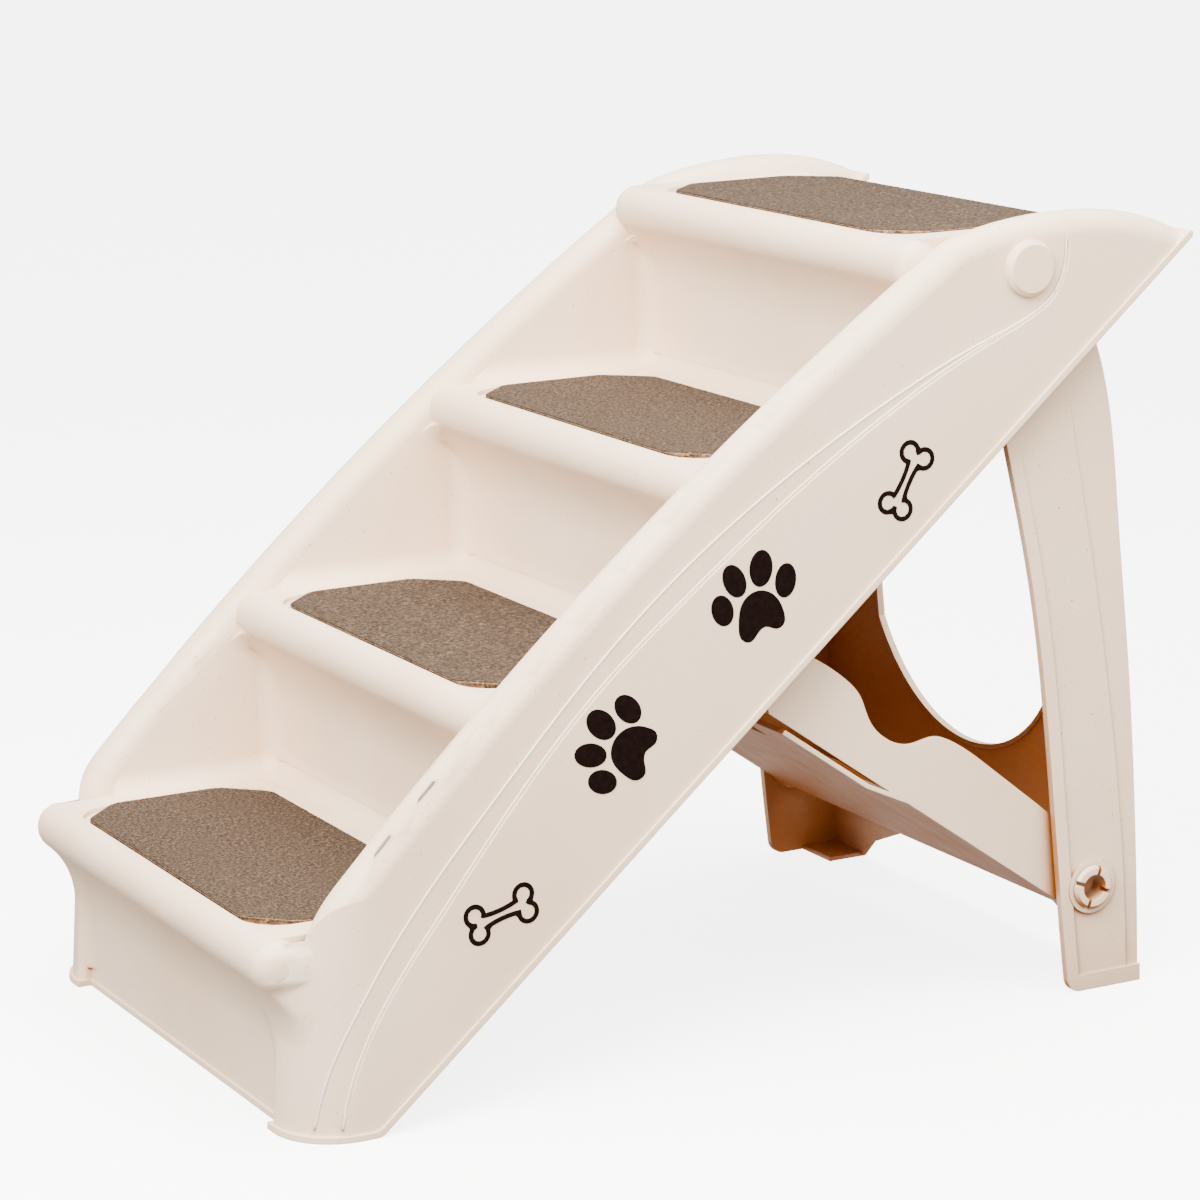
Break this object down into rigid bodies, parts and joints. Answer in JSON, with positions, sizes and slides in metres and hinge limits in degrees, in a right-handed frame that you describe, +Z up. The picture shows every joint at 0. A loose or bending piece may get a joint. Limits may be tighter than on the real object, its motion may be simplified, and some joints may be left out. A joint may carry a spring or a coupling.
{
  "type": "folding pet stairs",
  "caption": "Free-standing moulded plastic steps for a small animal, with carpeted treads and a hooked brace and rear leg frame that fold away under them.",
  "frame": {"origin": "middle of the bounding box's base, on the floor", "axes": "+X from the front of the lowest step towards the top and the rear leg, +Y towards the cheek without printed figures, +Z up"},
  "size_m": [0.6312, 0.405, 0.4999],
  "materials": {
    "cream_plastic": "satin",
    "tread_carpet": "heather needle-punched carpet",
    "brown_print": "flat print"
  },
  "bodies": {
    "stairs": {"stair_body": "cream_plastic", "tread_mat_1": "tread_carpet", "tread_mat_2": "tread_carpet", "tread_mat_3": "tread_carpet", "tread_mat_4": "tread_carpet", "paw_decal_lower": "brown_print", "paw_decal_upper": "brown_print", "bone_decal_lower": "brown_print", "bone_decal_upper": "brown_print"},
    "leg": {"leg_frame": "cream_plastic"},
    "brace": {"cross_brace": "cream_plastic"}
  },
  "joints": [
    {"name": "leg_fold", "type": "hinge", "parent": "stairs", "child": "leg", "pos_m": [0.1979, 0, 0.469], "axis": [0, 1, 0], "range_deg": [0, 44]},
    {"name": "brace_fold", "type": "hinge", "parent": "leg", "child": "brace", "pos_m": [0.2584, 0, 0.0688], "axis": [0, 1, 0], "range_deg": [0, 48.4]}
  ],
  "couplings": [
    {"joint": "brace_fold", "follows": "leg_fold", "ratio": 1.1}
  ]
}
